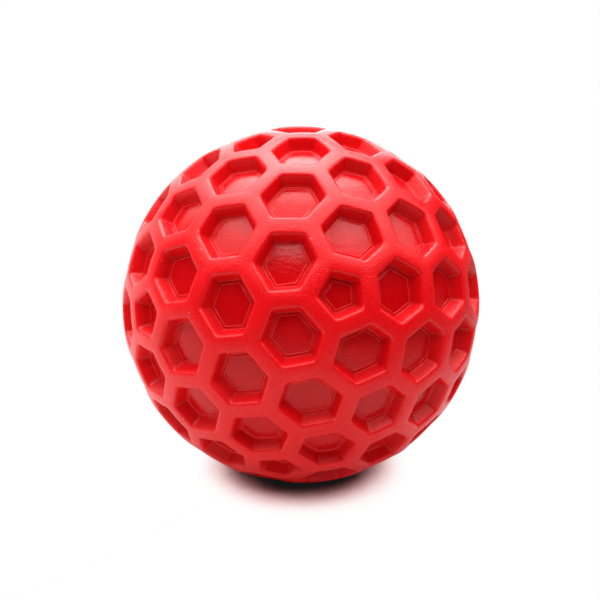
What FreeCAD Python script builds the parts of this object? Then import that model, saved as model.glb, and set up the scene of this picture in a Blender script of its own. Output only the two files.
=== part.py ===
"""Massage ball: a matt rubber honeycomb moulded over a smooth hollow ball.

The inner ball is two moulded half shells, joined at the equator by a stepped
weld.  The honeycomb covers it in one piece.  Its ribs leave 122 windows, 12 of
them pentagons and 110 hexagons, laid out on an icosahedron.

Frame: origin at the ball's centre, +Z up, millimetres.  The ball stands on the
rim of the hexagonal window whose centre is at -Z.
"""
import FreeCAD, Part
import math
import os

from FreeCAD import Rotation, Vector

# name, value (mm or degrees), meaning
DIMENSIONS = [
    ("ball_diameter", 65.0, "over the honeycomb's ribs"),
    ("recess_depth", 2.3, "from the ribs' tops down to the inner ball"),
    ("rib_top_width", 2.7, "between two windows, at the outside"),
    ("rib_foot_width", 3.7, "between two windows, at the inner ball"),
    ("window_corner_radius", 0.6, "of the upright corners of a window"),
    ("near_cell_angle", 18.35, "from a pentagon's centre to the next hexagon's"),
    ("facing_angle", 37.15, "turn of the pattern about the vertical axis"),
    ("inner_wall", 3.0, "wall of the inner ball's two halves"),
    ("tongue_width", 1.4, "of the weld's tongue, inside the wall"),
    ("tongue_height", 1.6, "of the weld's tongue, below the equator"),
]

PARTS_FOLDER = "parts"

# From one of an icosahedron's corners to the next.
ICOSAHEDRON_CORNER_ANGLE = math.degrees(math.atan(2.0))

# Two directions are neighbours when the cosine of the angle between them is above these.
ADJACENT_PENTAGONS = 0.4
ADJACENT_CELLS = math.cos(math.radians(25.0))
SAME_DIRECTION = 1.0 - 1e-9

# Any direction that no cell points along, to start counting corners from.
REFERENCE = Vector(0.3, 0.5, 0.8)

# A window cutter starts under the cover and ends above it, as shares of its radii.
CUTTER_START = 0.9
CUTTER_END = 1.05


def make_sheet(doc):
    """The driving dimensions, one row each, with the name as the alias."""
    sheet = doc.addObject("Spreadsheet::Sheet", "Dimensions")
    for row, (name, value, meaning) in enumerate(DIMENSIONS, start=1):
        sheet.set("A%d" % row, name)
        sheet.set("B%d" % row, str(value))
        sheet.set("C%d" % row, meaning)
        sheet.setAlias("B%d" % row, name)
    doc.recompute()
    return sheet


# ---------------------------------------------------------------- the pattern

def unit(vector):
    return vector.normalize() if vector.Length else vector


def icosahedron():
    """The 12 corners, as unit vectors, with the first at -Z."""
    down = Vector(0, 0, -1)
    lower = Rotation(Vector(0, 1, 0), -ICOSAHEDRON_CORNER_ANGLE).multVec(down)
    corners = [down]
    corners += [Rotation(Vector(0, 0, 1), 72.0 * k).multVec(lower) for k in range(5)]
    return corners + [-corner for corner in corners]


def adjacent(one, other, limit):
    return limit < one.dot(other) < SAME_DIRECTION


def cell_centres(sheet):
    """Unit vectors to the middle of each of the 122 cells, as the ball stands."""
    pentagons = icosahedron()
    middles = []
    faces = []
    near = []
    for i, a in enumerate(pentagons):
        for j in range(i + 1, len(pentagons)):
            b = pentagons[j]
            if not adjacent(a, b, ADJACENT_PENTAGONS):
                continue
            middles.append(unit(a + b))
            for c in pentagons[j + 1:]:
                if adjacent(a, c, ADJACENT_PENTAGONS) and adjacent(b, c, ADJACENT_PENTAGONS):
                    face = unit(a + b + c)
                    faces.append(face)
                    near += [towards(corner, face, sheet.near_cell_angle) for corner in (a, b, c)]
    stand = Rotation(Vector(0, 1, 0), -float(sheet.near_cell_angle))
    face_front = Rotation(Vector(0, 0, 1), float(sheet.facing_angle))
    turn = face_front.multiply(stand)
    return [turn.multVec(centre) for centre in pentagons + middles + faces + near]


def towards(start, goal, angle):
    """The unit vector reached from start by turning towards goal."""
    return Rotation(start.cross(goal), float(angle)).multVec(start)


def cell_corners(centre, centres):
    """The cell's corners in order, each shared with two neighbouring cells."""
    neighbours = [other for other in centres if adjacent(centre, other, ADJACENT_CELLS)]
    across = unit(centre.cross(REFERENCE))
    up = centre.cross(across)
    neighbours.sort(key=lambda other: math.atan2(other.dot(up), other.dot(across)))
    following = neighbours[1:] + neighbours[:1]
    return [unit(centre + a + b) for a, b in zip(neighbours, following)]


# ---------------------------------------------------------------- the windows

def wall_plane(centre, corner_a, corner_b, sizes):
    """A window's side wall as a plane: its outward normal, and its distance."""
    middle = unit(corner_a + corner_b)
    inward = unit(corner_a.cross(corner_b))
    if inward.dot(centre) < 0:
        inward = -inward
    along = middle.cross(inward)
    half_top = sizes["rib_top_width"] / 2
    half_foot = sizes["rib_foot_width"] / 2
    top = middle * math.sqrt(sizes["outer"] ** 2 - half_top ** 2) + inward * half_top
    foot = middle * math.sqrt(sizes["inner"] ** 2 - half_foot ** 2) + inward * half_foot
    normal = unit((top - foot).cross(along))
    if normal.dot(centre) > 0:
        normal = -normal
    return normal, normal.dot(top)


def crossing(centre, height, wall_a, wall_b):
    """The point on two walls at a height along the cell's own axis."""
    (normal_a, offset_a), (normal_b, offset_b) = wall_a, wall_b
    sum_of_parts = (normal_b.cross(centre) * offset_a
                    + centre.cross(normal_a) * offset_b
                    + normal_a.cross(normal_b) * height)
    return sum_of_parts * (1.0 / normal_a.dot(normal_b.cross(centre)))


def window_cutter(centre, corners, sizes):
    """A tapered prism through the cover, with rounded upright corners."""
    pairs = zip(corners, corners[1:] + corners[:1])
    walls = [wall_plane(centre, a, b, sizes) for a, b in pairs]
    wall_pairs = list(zip(walls, walls[1:] + walls[:1]))
    low = [crossing(centre, CUTTER_START * sizes["inner"], a, b) for a, b in wall_pairs]
    high = [crossing(centre, CUTTER_END * sizes["outer"], a, b) for a, b in wall_pairs]
    faces = [Part.Face(Part.makePolygon(ring + ring[:1])) for ring in (low[::-1], high)]
    for k in range(len(corners)):
        n = (k + 1) % len(corners)
        faces.append(Part.Face(Part.makePolygon([low[k], low[n], high[n], high[k], low[k]])))
    solid = Part.Solid(Part.Shell(faces))
    cover_thickness = sizes["outer"] - sizes["inner"]
    uprights = [edge for edge in solid.Edges if rise(edge, centre) > cover_thickness]
    return solid.makeFillet(sizes["window_corner_radius"], uprights)


def rise(edge, axis):
    """How far an edge climbs along an axis."""
    start, end = edge.Vertexes
    return abs((end.Point - start.Point).dot(axis))


def make_window_cutters(doc, sheet):
    sizes = {
        "outer": float(sheet.ball_diameter) / 2,
        "inner": float(sheet.ball_diameter) / 2 - float(sheet.recess_depth),
        "rib_top_width": float(sheet.rib_top_width),
        "rib_foot_width": float(sheet.rib_foot_width),
        "window_corner_radius": float(sheet.window_corner_radius),
    }
    centres = cell_centres(sheet)
    cutters = [window_cutter(centre, cell_corners(centre, centres), sizes) for centre in centres]
    feature = doc.addObject("Part::Feature", "window_cutters")
    feature.Shape = Part.Compound(cutters)
    return feature


# ---------------------------------------------------------------- the cover

INNER_RADIUS = "(Dimensions.ball_diameter / 2 - Dimensions.recess_depth)"
CAVITY_RADIUS = "(%s - Dimensions.inner_wall)" % INNER_RADIUS
TONGUE_RADIUS = "(%s + Dimensions.tongue_width)" % CAVITY_RADIUS


def add_sphere(doc, name, radius, lowest=-90, highest=90):
    """A ball, or the slice of one between two latitudes."""
    sphere = doc.addObject("Part::Sphere", name)
    sphere.setExpression("Radius", radius)
    sphere.Angle1 = lowest
    sphere.Angle2 = highest
    return sphere


def add_below_equator(doc, name, radius):
    """A cylinder as tall as the tongue, with its top on the equator."""
    cylinder = doc.addObject("Part::Cylinder", name)
    cylinder.setExpression("Radius", radius)
    cylinder.setExpression("Height", "Dimensions.tongue_height")
    cylinder.setExpression("Placement.Base.z", "-Dimensions.tongue_height")
    return cylinder


def add_cut(doc, name, base, tool):
    cut = doc.addObject("Part::Cut", name)
    cut.Base = base
    cut.Tool = tool
    return cut


def honeycomb_cover(doc, sheet):
    """The rubber skin: a hollow ball, pierced by every window."""
    outside = add_sphere(doc, "cover_outside", "Dimensions.ball_diameter / 2")
    inside = add_sphere(doc, "cover_inside", INNER_RADIUS)
    skin = add_cut(doc, "cover_skin", outside, inside)
    return add_cut(doc, "honeycomb_cover", skin, make_window_cutters(doc, sheet))


# ---------------------------------------------------------------- the inner ball

def inner_ball_upper(doc):
    """The upper half shell, with the weld's tongue standing below the equator."""
    dome = add_sphere(doc, "upper_outside", INNER_RADIUS, lowest=0)
    cavity = add_sphere(doc, "upper_cavity", CAVITY_RADIUS)
    tongue_outside = add_below_equator(doc, "tongue_outside", TONGUE_RADIUS)
    tongue_bore = add_below_equator(doc, "tongue_bore", CAVITY_RADIUS)
    half = doc.addObject("Part::Fuse", "inner_ball_upper")
    half.Base = add_cut(doc, "upper_shell", dome, cavity)
    half.Tool = add_cut(doc, "tongue", tongue_outside, tongue_bore)
    return half


def inner_ball_lower(doc):
    """The lower half shell, with a rebate that holds the tongue."""
    dome = add_sphere(doc, "lower_outside", INNER_RADIUS, highest=0)
    cavity = add_sphere(doc, "lower_cavity", CAVITY_RADIUS)
    rebate = add_below_equator(doc, "rebate", TONGUE_RADIUS)
    shell = add_cut(doc, "lower_shell", dome, cavity)
    return add_cut(doc, "inner_ball_lower", shell, rebate)


# ---------------------------------------------------------------- check and export

def check(doc, sub_parts):
    """Stop unless every object is sound and every sub-part is one closed solid."""
    for item in doc.Objects:
        if "Invalid" in item.State or "Error" in item.State:
            raise RuntimeError("%s did not compute: %s" % (item.Name, item.State))
    for item in sub_parts:
        shape = item.Shape
        if shape.isNull() or not shape.isValid() or not shape.isClosed() or len(shape.Solids) != 1:
            raise RuntimeError("%s is not one sound solid" % item.Label)


def export(sub_parts):
    os.makedirs(PARTS_FOLDER, exist_ok=True)
    for item in sub_parts:
        item.Shape.exportStep(os.path.join(PARTS_FOLDER, item.Label + ".step"))
        print("%-18s %9.1f mm3" % (item.Label, item.Shape.Volume))


def main():
    doc = FreeCAD.newDocument("MassageBall")
    sheet = make_sheet(doc)
    sub_parts = [honeycomb_cover(doc, sheet), inner_ball_upper(doc), inner_ball_lower(doc)]
    doc.recompute()
    check(doc, sub_parts)
    export(sub_parts)


main()
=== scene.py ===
"""Massage ball: a matt rubber honeycomb over a smooth, semi-gloss inner ball.

Everything is in metres, in the CAD part's own frame: origin at the ball's
centre, +Z up, the ball standing on the rim of its lowest window.
"""
import math

import bpy
import numpy as np
from mathutils import Matrix, Vector


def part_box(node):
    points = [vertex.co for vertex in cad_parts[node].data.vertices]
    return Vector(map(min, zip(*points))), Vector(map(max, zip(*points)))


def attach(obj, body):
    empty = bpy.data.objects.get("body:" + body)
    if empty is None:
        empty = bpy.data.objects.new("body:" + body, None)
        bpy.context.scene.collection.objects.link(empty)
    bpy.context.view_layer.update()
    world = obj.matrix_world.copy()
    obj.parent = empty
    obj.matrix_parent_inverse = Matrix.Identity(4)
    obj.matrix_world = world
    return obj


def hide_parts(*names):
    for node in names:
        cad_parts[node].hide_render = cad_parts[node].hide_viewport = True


MM = 0.001

# Sizes of the CAD part, from its frame where it gives them.
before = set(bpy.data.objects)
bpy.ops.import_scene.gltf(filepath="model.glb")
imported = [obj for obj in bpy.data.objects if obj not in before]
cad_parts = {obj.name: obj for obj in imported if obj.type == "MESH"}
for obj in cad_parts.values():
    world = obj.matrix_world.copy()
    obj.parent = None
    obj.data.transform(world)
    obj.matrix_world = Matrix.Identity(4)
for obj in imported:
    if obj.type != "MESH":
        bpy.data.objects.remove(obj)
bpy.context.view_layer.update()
COVER_RADIUS = 32.5 * MM
FLOOR_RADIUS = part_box("inner_ball_upper")[1].z      # the inner ball, seen at the bottom of a window
INNER_WALL = 3.0 * MM
TONGUE_WIDTH = 1.4 * MM
TONGUE_HEIGHT = -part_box("inner_ball_upper")[0].z

# The window pattern, as in the CAD part.
NEAR_CELL_ANGLE = math.radians(18.35)               # from a pentagon's centre to the next hexagon's
FACING_ANGLE = math.radians(37.15)                  # the pattern's turn about the vertical axis
RIB_TOP_WIDTH = 2.7 * MM
RIB_FOOT_WIDTH = 3.7 * MM
ICOSAHEDRON_CORNER_ANGLE = math.atan(2.0)           # from one of its corners to the next

# Two directions are neighbours when the cosine of the angle between them is above these.
ADJACENT_PENTAGONS = 0.4
ADJACENT_CELLS = math.cos(math.radians(25))
SAME_DIRECTION = 1 - 1e-9

# Any direction that no cell points along, to start counting corners from.
REFERENCE = (0.3, 0.5, 0.8)


# ------------------------------------------------------------------ the pattern

def unit(v):
    return v / np.linalg.norm(v, axis=-1, keepdims=True)


def turned(points, axis, angle):
    """Points turned about an axis through the origin, by the right-hand rule."""
    points = np.asarray(points, float)
    axis = unit(np.asarray(axis, float))
    along = (points @ axis)[..., None] * axis
    return along + (points - along) * math.cos(angle) + np.cross(axis, points) * math.sin(angle)


def icosahedron():
    """The 12 corners as unit vectors, with the first at -Z."""
    down = np.array([0.0, 0.0, -1.0])
    lower = turned(down, (0, 1, 0), -ICOSAHEDRON_CORNER_ANGLE)
    corners = [down] + [turned(lower, (0, 0, 1), math.radians(72 * k)) for k in range(5)]
    return np.array(corners + [-corner for corner in corners])


def cell_centres():
    """Unit vectors to the middles of the 122 cells, the way the ball stands."""
    corners = icosahedron()
    joined = corners @ corners.T > ADJACENT_PENTAGONS
    middles, faces, near = [], [], []
    for i in range(len(corners)):
        for j in range(i + 1, len(corners)):
            if not joined[i, j]:
                continue
            middles.append(unit(corners[i] + corners[j]))
            for k in range(j + 1, len(corners)):
                if joined[i, k] and joined[j, k]:
                    face = unit(corners[i] + corners[j] + corners[k])
                    faces.append(face)
                    near += [turned(corners[n], np.cross(corners[n], face), NEAR_CELL_ANGLE)
                             for n in (i, j, k)]
    centres = np.concatenate([corners, middles, faces, near])
    centres = turned(centres, (0, 1, 0), -NEAR_CELL_ANGLE)
    return turned(centres, (0, 0, 1), FACING_ANGLE)


def chart_axes(centre):
    """Two unit vectors square to a cell's middle, the second anticlockwise of the first."""
    across = unit(np.cross(centre, REFERENCE))
    return across, np.cross(centre, across)


def cell_corners(centre, centres):
    """A cell's corners, anticlockwise from outside: each is midway between three cells."""
    near = centres @ centre
    neighbours = centres[(near > ADJACENT_CELLS) & (near < SAME_DIRECTION)]
    across, up = chart_axes(centre)
    neighbours = neighbours[np.argsort(np.arctan2(neighbours @ up, neighbours @ across))]
    return unit(centre + neighbours + np.roll(neighbours, -1, axis=0))


# ------------------------------------------------------------------ small unevenness

def waves(points, wavelength, seed):
    """Smooth, repeatable noise of about -1 to 1: a few plane waves in scattered directions."""
    count = 9
    random = np.random.default_rng(seed)
    directions = unit(random.normal(size=(count, 3)))
    lengths = wavelength * random.uniform(0.7, 1.5, count)
    phases = random.uniform(0, 2 * math.pi, count)
    angles = points @ directions.T * (2 * math.pi / lengths) + phases
    return np.sin(angles).sum(axis=-1) / math.sqrt(count)


# ------------------------------------------------------------------ the cover

# Detail that only the visual model has.
RIB_CROWN = 0.05 * MM                               # a rib's top falls this much towards its rims
RIM_RADIUS = 0.6 * MM
WALL_CORNER_RADIUS = 0.75 * MM                      # a window's upright corners, under the rim
FOOT_CORNER_RADIUS = 0.5 * MM                       # and at the wall's foot
FOOT_RADIUS = 0.14 * MM
SKIRT_THICKNESS = 0.01 * MM                         # of the film between the foot and the flash
UNDERSIDE_DEPTH = 0.05 * MM                         # how far the cover reaches into the inner ball

# The flash: a thin, uneven line of rubber on the floor, along the foot of the walls.
FLASH_INSET = 0.5 * MM
FLASH_WIDTH = 0.18 * MM
FLASH_HEIGHT = 0.08 * MM
FLASH_CORNER_RADIUS = 0.25 * MM
FLASH_SECTION = ((-0.5, 0), (-0.25, 0.7), (0, 1), (0.25, 0.7), (0.5, 0))    # in widths and heights
FLASH_UNDERSIDE_EDGE = 0.6                          # in widths from the flash's middle
FLASH_MEAN, FLASH_SWING = 0.6, 0.8                  # its height changes about a mean, in heights
FLASH_LEAST, FLASH_MOST = 0.05, 1.3
FLASH_WAVELENGTH = 0.09                             # in radii of the ball
FLASH_SEED = 5
FLASH_SHARE = "flash"                               # the mesh attribute that is 1 along the flash

# How finely the cover is divided.
RIB_TOP_SHARES = (0, 0.3, 0.55, 0.78)
RIM_STEPS = 7
WALL_SHARES = (0.25, 0.5, 0.75)
FOOT_STEPS = 3
UNDERSIDE_SHARES = (1, 0.5, 0)
STEPS_PER_EDGE = 14
EDGE_CLUSTERING = 0.75                              # 0 is even; 1 crowds the points at the corners


def rib_profile():
    """Half a rib's cross-section, from the middle of its top to the middle of its underside.

    Each step is (distance from the rib's middle, radius from the ball's centre,
    radius of the window's corners, how much of the step belongs to the flash line).
    """
    half_top = RIB_TOP_WIDTH / 2
    slope = math.atan((RIB_FOOT_WIDTH - RIB_TOP_WIDTH) / 2 / (COVER_RADIUS - FLOOR_RADIUS))
    rim_r = COVER_RADIUS - RIB_CROWN - RIM_RADIUS
    rim_d = half_top - (RIM_RADIUS - (COVER_RADIUS - rim_r) * math.sin(slope)) / math.cos(slope)
    skirt_r = FLOOR_RADIUS + SKIRT_THICKNESS
    foot_r = skirt_r + FOOT_RADIUS
    foot_d = half_top + (FOOT_RADIUS + (COVER_RADIUS - foot_r) * math.sin(slope)) / math.cos(slope)
    rim_corner = WALL_CORNER_RADIUS + RIM_RADIUS
    steps = []
    for share in RIB_TOP_SHARES:
        steps.append((rim_d * share, COVER_RADIUS - RIB_CROWN * share ** 2, rim_corner, 0))
    for k in range(RIM_STEPS + 1):
        a = (math.pi / 2 - slope) * k / RIM_STEPS
        turn = RIM_RADIUS * math.sin(a)
        steps.append((rim_d + turn, rim_r + RIM_RADIUS * math.cos(a), rim_corner - turn, 0))
    top_d, top_r = steps[-1][:2]
    wall_end_d = foot_d - FOOT_RADIUS * math.cos(slope)
    wall_end_r = foot_r - FOOT_RADIUS * math.sin(slope)
    for share in WALL_SHARES:
        corner = WALL_CORNER_RADIUS + (FOOT_CORNER_RADIUS - WALL_CORNER_RADIUS) * share
        steps.append((top_d + (wall_end_d - top_d) * share, top_r + (wall_end_r - top_r) * share,
                      corner, 0))
    for k in range(FOOT_STEPS + 1):
        a = slope + (math.pi / 2 - slope) * k / FOOT_STEPS
        steps.append((foot_d - FOOT_RADIUS * math.cos(a), foot_r - FOOT_RADIUS * math.sin(a),
                      FOOT_CORNER_RADIUS, 0))
    flash_d = RIB_FOOT_WIDTH / 2 + FLASH_INSET
    for across, rise in FLASH_SECTION:
        steps.append((flash_d + FLASH_WIDTH * across, skirt_r, FLASH_CORNER_RADIUS, rise))
    underside_d = flash_d + FLASH_WIDTH * FLASH_UNDERSIDE_EDGE
    underside_r = FLOOR_RADIUS - UNDERSIDE_DEPTH
    for share in UNDERSIDE_SHARES:
        steps.append((underside_d * share, underside_r, FLASH_CORNER_RADIUS, 0))
    return steps


def rounded_ring(angles, normals, distances, radius):
    """Where rays from the origin leave a polygon with rounded corners.

    The polygon's sides have the given outward normals and distances from the
    origin, in anticlockwise order.
    """
    side_on = 1e-6      # a ray that faces a side by less than this doesn't leave through it
    rays = np.stack([np.cos(angles), np.sin(angles)], axis=1)
    facing = rays @ normals.T
    reach = np.where(facing > side_on, distances / np.maximum(facing, side_on), np.inf).min(axis=1)
    inner = distances - radius
    following = np.roll(normals, -1, axis=0)
    inner_next = np.roll(inner, -1)
    turn = normals[:, 0] * following[:, 1] - normals[:, 1] * following[:, 0]
    hub_x = (inner * following[:, 1] - inner_next * normals[:, 1]) / turn
    hub_y = (inner_next * normals[:, 0] - inner * following[:, 0]) / turn
    for hub, before, after in zip(np.stack([hub_x, hub_y], axis=1), normals, following):
        along = rays @ hub
        inside = along ** 2 - hub @ hub + radius ** 2
        far = along + np.sqrt(np.maximum(inside, 0))
        out = rays * far[:, None] - hub
        beyond_before = before[0] * out[:, 1] - before[1] * out[:, 0]
        beyond_after = after[0] * out[:, 1] - after[1] * out[:, 0]
        on_arc = (inside > 0) & (beyond_before > 0) & (beyond_after < 0) & (along > 0)
        reach = np.where(on_arc, far, reach)
    return rays * reach[:, None]


def cell_outline(corners):
    """Directions along the cell's edges, on great circles, closer together near the corners."""
    even = np.arange(STEPS_PER_EDGE) / STEPS_PER_EDGE
    shares = even - EDGE_CLUSTERING * np.sin(2 * math.pi * even) / (2 * math.pi)
    edges = []
    for a, b in zip(corners, np.roll(corners, -1, axis=0)):
        angle = math.acos(a @ b)
        from_a, to_b = np.sin((1 - shares) * angle), np.sin(shares * angle)
        edges.append((from_a[:, None] * a + to_b[:, None] * b) / math.sin(angle))
    return np.concatenate(edges)


def cell_rings(centre, corners, profile):
    """The cell's mesh as rings of points, one ring for each step of the rib's profile.

    The rings are laid out on the plane that touches the unit sphere at the cell's middle.
    """
    u, v = chart_axes(centre)
    edge = cell_outline(corners)
    chart = np.stack([edge @ u, edge @ v], axis=1) / (edge @ centre)[:, None]
    angles = np.arctan2(chart[:, 1], chart[:, 0])
    flat = np.stack([corners @ u, corners @ v], axis=1) / (corners @ centre)[:, None]
    sides = np.roll(flat, -1, axis=0) - flat
    normals = unit(np.stack([sides[:, 1], -sides[:, 0]], axis=1))
    distances = (flat * normals).sum(axis=1)
    stretch = 1 + distances.mean() ** 2
    rings = []
    for distance, radius, corner, flash in profile:
        directions = edge
        if distance > 0:
            inset = distance / radius * stretch
            ring = rounded_ring(angles, normals, distances - inset, corner / radius)
            directions = unit(centre + ring[:, :1] * u + ring[:, 1:] * v)
        height = np.full(len(directions), radius)
        if flash:
            strength = FLASH_MEAN + FLASH_SWING * waves(directions, FLASH_WAVELENGTH, FLASH_SEED)
            height += FLASH_HEIGHT * flash * np.clip(strength, FLASH_LEAST, FLASH_MOST)
        rings.append(directions * height[:, None])
    return rings


def add_mesh(name, vertices, faces, material):
    mesh = bpy.data.meshes.new(name)
    mesh.from_pydata([tuple(v) for v in vertices], [], faces)
    mesh.validate()
    mesh.materials.append(material)
    mesh.shade_smooth()
    piece = bpy.data.objects.new(name, mesh)
    bpy.context.collection.objects.link(piece)
    return piece


def merged(vertices, faces, grid=1e-8):
    """The same mesh with points that coincide made one, and which of the points were kept."""
    _, first, to_one = np.unique(np.round(vertices / grid).astype(np.int64), axis=0,
                                 return_index=True, return_inverse=True)
    to_one = to_one.reshape(-1)
    return vertices[first], [tuple(int(to_one[i]) for i in face) for face in faces], first


def build_cover(material):
    """The whole honeycomb as one closed mesh."""
    centres = cell_centres()
    profile = rib_profile()
    points, faces, flash, start = [], [], [], 0
    for centre in centres:
        rings = cell_rings(centre, cell_corners(centre, centres), profile)
        count = len(rings[0])
        flash += [rise for *_, rise in profile for _ in range(count)]
        for k in range(len(rings) - 1):
            a = start + k * count
            for j in range(count):
                n = (j + 1) % count
                faces.append((a + j, a + n, a + count + n, a + count + j))
        points += rings
        start += count * len(rings)
    vertices, faces, kept = merged(np.concatenate(points), faces)
    cover = add_mesh("honeycomb", vertices, faces, material)
    share = cover.data.attributes.new(FLASH_SHARE, "FLOAT", "POINT")
    share.data.foreach_set("value", np.array(flash, np.float32)[kept])
    return cover


# ------------------------------------------------------------------ the inner ball

OUTSIDE_STEPS = 72
CAVITY_STEPS = 48
SEGMENTS_AROUND = 216
SHARP_EDGE_ANGLE = math.radians(35)
ON_THE_AXIS = 1e-9


def arc(radius, start, end, steps):
    """Points (distance from the axis, height) on an arc, by latitude in degrees."""
    latitudes = np.radians(np.linspace(start, end, steps + 1))
    return [(radius * math.cos(a), radius * math.sin(a)) for a in latitudes]


def revolve(name, outline, material):
    """A solid of revolution about Z. The outline starts and ends on the axis."""
    turns = [2 * math.pi * k / SEGMENTS_AROUND for k in range(SEGMENTS_AROUND)]
    vertices, rings = [], []
    for distance, height in outline:
        start = len(vertices)
        if distance < ON_THE_AXIS:
            vertices.append((0, 0, height))
        else:
            vertices += [(distance * math.cos(a), distance * math.sin(a), height) for a in turns]
        rings.append(range(start, len(vertices)))
    faces = []
    for ring, below in zip(rings, rings[1:]):
        for k in range(SEGMENTS_AROUND):
            n = (k + 1) % SEGMENTS_AROUND
            if len(ring) == 1:
                faces.append((ring[0], below[k], below[n]))
            elif len(below) == 1:
                faces.append((ring[k], below[0], ring[n]))
            else:
                faces.append((ring[k], below[k], below[n], ring[n]))
    piece = add_mesh(name, vertices, faces, material)
    piece.data.set_sharp_from_angle(angle=SHARP_EDGE_ANGLE)
    return piece


def build_inner_half(name, upper, material):
    """Half of the inner ball: a shell with its half of the stepped weld."""
    pole = 90 if upper else -90
    cavity = FLOOR_RADIUS - INNER_WALL
    step = cavity + TONGUE_WIDTH
    outside = arc(FLOOR_RADIUS, pole, 0, OUTSIDE_STEPS)
    weld = [(step, 0), (step, -TONGUE_HEIGHT)]
    if upper:
        weld.append((cavity, -TONGUE_HEIGHT))
        return revolve(name, outside + weld + arc(cavity, 0, pole, CAVITY_STEPS), material)
    rebate_edge = -math.degrees(math.asin(TONGUE_HEIGHT / cavity))
    outline = outside + weld + arc(cavity, rebate_edge, pole, CAVITY_STEPS)
    return revolve(name, outline[::-1], material)


# ------------------------------------------------------------------ materials

# The rubber's colours: between two reds in slow clouds, with a lighter grain that is partly painted
# glints, dust, painted shade on the walls and a painted highlight on the flash on top.
COVER_REDS = ((0.70, 0.0025, 0.006), (0.77, 0.0035, 0.007))
# lighter red on the grain's peaks: partly the rubber's grain, partly painted glints off its facets
GRAIN_GLINT_RED = (0.95, 0.004, 0.006)
DUST_PINK = (0.9, 0.2, 0.2)
# painted shade: the darker red of the walls deep in the windows
WALL_SHADE_RED = (0.68, 0.003, 0.006)
# a pale pink painted along the flash: a painted highlight on its ridge
FLASH_HIGHLIGHT_PINK = (0.9, 0.06, 0.06)

# Painted shade in the windows: the darker wall colour fades in between these radii, from just under
# the rim, and is full deeper down.
WALL_SHADE_FULL = COVER_RADIUS - 1.5 * MM
WALL_SHADE_NONE = COVER_RADIUS - 0.4 * MM

PLASTIC_REDS = ((0.56, 0.002, 0.0045), (0.62, 0.003, 0.006))

# What the table throws back on the ball, near the ball: a pinkish white, a painted red bounce that
# stands in for the ball's own red light coming back off the table. It fades to a share of that over a
# stretch to the right of the ball and a stretch in front of it.
TABLE_THROWN = (0.54, 0.42, 0.42)
TABLE_THROWN_FAR = 0.15
TABLE_RIGHT = (0.03, 0.12)
TABLE_FRONT = (-0.25, -0.06)

# The painted shadow that the eye sees on the glowing table: the shares of open sky where it is darkest
# and where it ends, in red light, and in green and blue, which the ball throws back less of.
SHADOW_RED = (0.16, 0.335)
SHADOW_OTHER = (0.175, 0.385)
SHADOW_CORE = 0.007
SKY_DISTANCE = 1.0
SKY_SAMPLES = 48


def new_material(name):
    material = bpy.data.materials.new(name)
    material.use_nodes = True
    tree = material.node_tree
    return material, tree, tree.nodes["Principled BSDF"]


def add_node(tree, kind, inputs=(), **settings):
    """A shader node with its settings and inputs. An input is a value or another node's output."""
    node = tree.nodes.new(kind)
    for name, value in settings.items():
        setattr(node, name, value)
    for name, value in dict(inputs).items():
        if isinstance(value, bpy.types.NodeSocket):
            tree.links.new(value, node.inputs[name])
        else:
            node.inputs[name].default_value = value
    return node


def noise(tree, position, scale, detail=2.0, roughness=0.5):
    """Noise of 0 to 1 at a number of features per metre."""
    node = add_node(tree, "ShaderNodeTexNoise",
                    {"Vector": position, "Scale": scale, "Detail": detail, "Roughness": roughness})
    return node.outputs["Fac"]


def spread(tree, value, low, high, to_low, to_high, interpolation="LINEAR"):
    """A value's range from low to high, stretched to another range."""
    ends = {"From Min": low, "From Max": high, "To Min": to_low, "To Max": to_high}
    node = add_node(tree, "ShaderNodeMapRange", {"Value": value, **ends},
                    interpolation_type=interpolation)
    return node.outputs["Result"]


def mixed(tree, share, a, b):
    """One colour turning into another as the share goes from 0 to 1."""
    node = add_node(tree, "ShaderNodeMix", data_type="RGBA")
    tree.links.new(share, node.inputs["Factor"])
    for socket, colour in ((node.inputs["A"], a), (node.inputs["B"], b)):
        if isinstance(colour, bpy.types.NodeSocket):
            tree.links.new(colour, socket)
        else:
            socket.default_value = (*colour, 1)
    return node.outputs["Result"]


def bump(tree, height, distance, strength, below=None):
    """A normal tilted by a height map, on top of another bump if one is given."""
    inputs = {"Height": height, "Distance": distance, "Strength": strength}
    if below is not None:
        inputs["Normal"] = below
    return add_node(tree, "ShaderNodeBump", inputs).outputs["Normal"]


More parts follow.
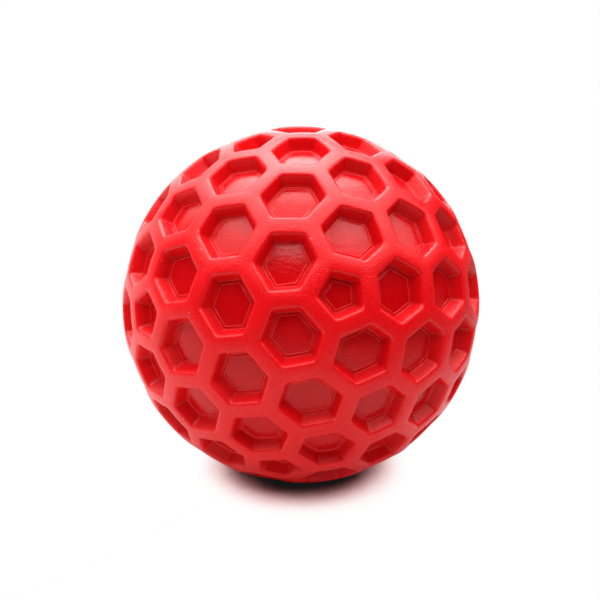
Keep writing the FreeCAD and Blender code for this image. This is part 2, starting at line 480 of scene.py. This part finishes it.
def cover_rubber():
    """Matt red rubber with the fine grain of a spark-eroded mould; its colour holds painted shade on
    the walls, painted glints on the grain and a painted highlight on the flash.
    """
    material, tree, shader = new_material("cover_rubber")
    position = add_node(tree, "ShaderNodeTexCoord").outputs["Object"]
    length = add_node(tree, "ShaderNodeVectorMath", {0: position}, operation="LENGTH")
    radius = length.outputs["Value"]
    flash = add_node(tree, "ShaderNodeAttribute", attribute_name=FLASH_SHARE).outputs["Fac"]
    cloud = noise(tree, position, scale=160, detail=3)
    grain = noise(tree, position, scale=3600, detail=2, roughness=0.6)
    speck = noise(tree, position, scale=900, detail=1)
    dust = noise(tree, position, scale=1300, detail=0)

    colour = mixed(tree, spread(tree, cloud, 0.3, 0.7, 0, 1), *COVER_REDS)
    # the grain's peaks turn a lighter red: partly real grain, partly painted glints off the grain's
    # facets
    colour = mixed(tree, spread(tree, grain, 0.35, 0.7, 0, 0.4), colour, GRAIN_GLINT_RED)
    colour = mixed(tree, spread(tree, dust, 0.82, 0.86, 0, 0.4), colour, DUST_PINK)
    # painted shade: the walls deep in the windows turn a darker red
    wall_shade = spread(tree, radius, WALL_SHADE_FULL, WALL_SHADE_NONE, 1, 0)
    colour = mixed(tree, wall_shade, colour, WALL_SHADE_RED)
    # painted highlight: the flash line is painted pale pink
    colour = mixed(tree, spread(tree, flash, 0.5, 1, 0, 1), colour, FLASH_HIGHLIGHT_PINK)
    tree.links.new(colour, shader.inputs["Base Color"])

    tree.links.new(spread(tree, grain, 0.3, 0.7, 0.26, 0.36), shader.inputs["Roughness"])
    uneven = bump(tree, speck, distance=0.02 * MM, strength=0.5)
    uneven = bump(tree, grain, distance=0.12 * MM, strength=0.62, below=uneven)
    tree.links.new(uneven, shader.inputs["Normal"])
    shader.inputs["Specular IOR Level"].default_value = 0.28
    return material


def inner_plastic():
    """Smooth red plastic, semi-gloss, with a faint ripple and hairline scratches."""
    material, tree, shader = new_material("inner_plastic")
    position = add_node(tree, "ShaderNodeTexCoord").outputs["Object"]
    drawn = add_node(tree, "ShaderNodeVectorMath", {0: position, 1: (1, 1, 5)}, operation="MULTIPLY")
    cloud = noise(tree, position, scale=220, detail=3)
    ripple = noise(tree, position, scale=650, detail=2)
    scratch = noise(tree, drawn.outputs["Vector"], scale=420, detail=3)
    fine = noise(tree, position, scale=2600, detail=3)

    colour = mixed(tree, spread(tree, cloud, 0.3, 0.7, 0, 1), *PLASTIC_REDS)
    tree.links.new(colour, shader.inputs["Base Color"])
    tree.links.new(spread(tree, fine, 0.35, 0.65, 0.13, 0.26), shader.inputs["Roughness"])
    uneven = bump(tree, ripple, distance=0.03 * MM, strength=0.6)
    uneven = bump(tree, scratch, distance=0.045 * MM, strength=0.7, below=uneven)
    uneven = bump(tree, fine, distance=0.035 * MM, strength=0.8, below=uneven)
    tree.links.new(uneven, shader.inputs["Normal"])
    shader.inputs["Specular IOR Level"].default_value = 0.22
    return material


def table_white():
    """A white table that glows to the eye, overexposed, with a painted soft shadow where the ball
    hides the sky.

    What it throws back on the ball is less than the eye sees, and less still from in front and
    from the right, as if the white ended there.
    """
    material, tree, shader = new_material("table_white")
    position = add_node(tree, "ShaderNodeTexCoord").outputs["Object"]
    place = add_node(tree, "ShaderNodeSeparateXYZ", {"Vector": position}).outputs
    left = spread(tree, place["X"], *TABLE_RIGHT, 1, TABLE_THROWN_FAR)
    behind = spread(tree, place["Y"], *TABLE_FRONT, TABLE_THROWN_FAR, 1)
    share = add_node(tree, "ShaderNodeMath", {0: left, 1: behind}, operation="MULTIPLY")
    thrown = mixed(tree, share.outputs["Value"], (0.0, 0.0, 0.0), TABLE_THROWN)
    tree.links.new(thrown, shader.inputs["Base Color"])
    shader.inputs["Roughness"].default_value = 0.9
    shader.inputs["Specular IOR Level"].default_value = 0.0

    # The painted shadow: to the eye the table glows, dimmer where the ball hides more of its sky,
    # tinted red as if by the ball.
    sky = add_node(tree, "ShaderNodeAmbientOcclusion", {"Distance": SKY_DISTANCE}, samples=SKY_SAMPLES)
    red, other = (spread(tree, sky.outputs["AO"], dark, white, SHADOW_CORE, 1, "SMOOTHSTEP")
                  for dark, white in (SHADOW_RED, SHADOW_OTHER))
    painted_shadow = add_node(tree, "ShaderNodeCombineColor", {"Red": red, "Green": other, "Blue": other})
    glow = add_node(tree, "ShaderNodeEmission", {"Color": painted_shadow.outputs["Color"]})
    seen = add_node(tree, "ShaderNodeLightPath").outputs["Is Camera Ray"]
    either = add_node(tree, "ShaderNodeMixShader",
                      {"Fac": seen, 1: shader.outputs["BSDF"], 2: glow.outputs["Emission"]})
    tree.links.new(either.outputs["Shader"], tree.nodes["Material Output"].inputs["Surface"])
    return material


# ------------------------------------------------------------------ stage, light, camera

TABLE_HALF = 12.0                   # half of the table's side

# The soft boxes: azimuth from the camera's side (90 is +X), elevation and half-width in
# degrees, the share of the half-width that has its full brightness, and the brightness.
SOFT_BOXES = (
    (180, 66, 30, 0.3, 8.0),        # the main light, overhead and a little behind
    (180, 88, 46, 0.85, 2.8),       # the canopy round it, whose front edge shows in the windows
    (-8, 58, 13, 0.6, 2.6),         # overhead in front
    (-75, 46, 22, 0.5, 2.4),        # left
    (60, 50, 18, 0.5, 3.0),         # right
    (98, 35, 15, 0.7, 3.0),         # right, lower and farther back
    (-140, 45, 28, 0.3, 3.0),       # behind, left
    (140, 45, 26, 0.3, 0.8),        # behind, right
    (180, 6, 26, 0.3, 5.0),         # the backdrop
    (-135, 5, 32, 0.25, 1.0),       # the backdrop's left end
)
BACKDROP_SEEN = 1.0                 # the brightness of everything past the table, to the eye

CAMERA_ELEVATION = 17.57            # degrees above the ball's centre, seen from -Y
CAMERA_ROLL = math.radians(-0.43)
CAMERA_DISTANCE = 4.95 * COVER_RADIUS
CAMERA_SHIFT = (-0.0015, 0.007)
CAMERA_CLIP = (0.01, 50)
LENS = 51.92
SENSOR = 36.0


def add_table(cover):
    """The table, touching the rim that the ball stands on."""
    ground = min(vertex.co.z for vertex in cover.data.vertices)
    signs = ((-1, -1), (1, -1), (1, 1), (-1, 1))
    corners = [(TABLE_HALF * x, TABLE_HALF * y, ground) for x, y in signs]
    table = add_mesh("table", corners, [(0, 1, 2, 3)], table_white())


def direction(azimuth, elevation):
    """The unit vector at an azimuth from the camera's side and an elevation, in degrees."""
    a, e = math.radians(azimuth), math.radians(elevation)
    return Vector((math.sin(a) * math.cos(e), -math.cos(a) * math.cos(e), math.sin(e)))


def add_lights():
    """The world: a soft-edged disc of light for each soft box, and plain white to the eye."""
    world = bpy.data.worlds.new("studio")
    bpy.context.scene.world = world
    world.use_nodes = True
    tree = world.node_tree
    view = add_node(tree, "ShaderNodeTexCoord").outputs["Generated"]
    total = 0.0
    for azimuth, elevation, half_width, core_share, brightness in SOFT_BOXES:
        aim = add_node(tree, "ShaderNodeVectorMath",
                       {0: view, 1: direction(azimuth, elevation)}, operation="DOT_PRODUCT")
        edge = math.cos(math.radians(half_width))
        core = math.cos(math.radians(half_width * core_share))
        glow = spread(tree, aim.outputs["Value"], edge, core, 0, brightness, "SMOOTHSTEP")
        total = add_node(tree, "ShaderNodeMath", {0: glow, 1: total}, operation="ADD").outputs["Value"]
    seen = add_node(tree, "ShaderNodeLightPath").outputs["Is Camera Ray"]
    background = tree.nodes["Background"]
    tree.links.new(spread(tree, seen, 0, 1, total, BACKDROP_SEEN), background.inputs["Strength"])
    background.inputs["Color"].default_value = (1, 1, 1, 1)
    bpy.context.scene.view_settings.view_transform = "Standard"


def add_camera():
    data = bpy.data.cameras.new("camera")
    data.lens = LENS
    data.sensor_width = SENSOR
    data.shift_x, data.shift_y = CAMERA_SHIFT
    data.clip_start, data.clip_end = CAMERA_CLIP
    camera = bpy.data.objects.new("camera", data)
    back = direction(0, CAMERA_ELEVATION)
    camera.location = back * CAMERA_DISTANCE
    look = (-back).to_track_quat("-Z", "Y").to_matrix().to_4x4()
    camera.rotation_euler = (look @ Matrix.Rotation(CAMERA_ROLL, 4, "Z")).to_euler()
    bpy.context.collection.objects.link(camera)
    bpy.context.scene.camera = camera


def main():
    rubber = cover_rubber()
    plastic = inner_plastic()
    cover = build_cover(rubber)
    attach(cover, "root")
    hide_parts("honeycomb_cover")
    for name, upper in (("upper", True), ("lower", False)):
        half = build_inner_half("inner_half_" + name, upper, plastic)
        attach(half, "root")
        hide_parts("inner_ball_" + name)
    add_table(cover)
    add_lights()
    add_camera()


main()
